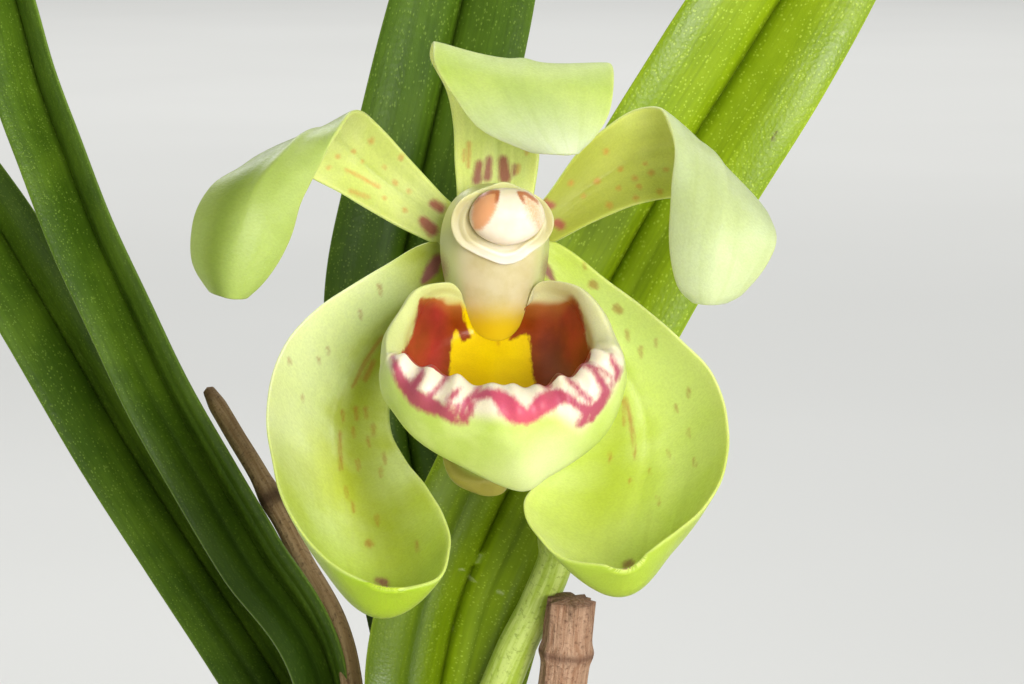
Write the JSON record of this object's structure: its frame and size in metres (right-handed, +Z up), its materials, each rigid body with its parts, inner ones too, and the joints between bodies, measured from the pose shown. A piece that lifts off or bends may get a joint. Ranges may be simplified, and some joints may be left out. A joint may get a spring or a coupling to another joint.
{
  "type": "potted vanda pumila",
  "caption": "Small strap-leaved orchid with an open yellow-green flower and a crimson-marked lip, growing in bark in a plain clay pot.",
  "frame": {"origin": "centre of the pot's flat foot, on the surface it stands on", "axes": "+Z up; the flower faces -Y; +X is to the viewer's right"},
  "size_m": [0.1778, 0.1222, 0.2241],
  "materials": {
    "terracotta": "matt unglazed fired clay",
    "bark": "rough dry conifer bark",
    "stem_sheath": "satin leaf sheaths, papery at the edges",
    "root_velamen": "matt silvery root skin",
    "leaf": "satin fleshy leaf with fine pale speckles",
    "green_stalk": "satin green stalk",
    "dry_stalk": "dry brown fibre",
    "petal": "waxy pale yellow-green with brown spots",
    "lateral_sepal": "waxy yellow-green with brown streaks",
    "lip": "waxy pale green with crimson and maroon marks",
    "column": "waxy cream white",
    "anther": "satin cream with orange patches"
  },
  "bodies": {
    "root": {"pot": "terracotta", "bark": "bark", "stem": "stem_sheath", "root_1": "root_velamen", "root_2": "root_velamen", "root_3": "root_velamen", "root_4": "root_velamen", "root_5": "root_velamen", "root_6": "root_velamen", "leaf_1": "leaf", "leaf_2": "leaf", "leaf_3": "leaf", "leaf_4": "leaf", "leaf_5": "leaf", "leaf_6": "leaf", "leaf_7": "leaf", "leaf_8": "leaf", "leaf_9": "leaf", "leaf_10": "leaf", "flower_stalk": "green_stalk", "old_spike_stub": "dry_stalk", "old_spike_left": "dry_stalk", "dorsal_sepal": "petal", "petal_left": "petal", "petal_right": "petal", "lateral_sepal_left": "lateral_sepal", "lateral_sepal_right": "lateral_sepal", "lip": "lip", "column": "column", "anther_cap": "anther"}
  },
  "joints": []
}
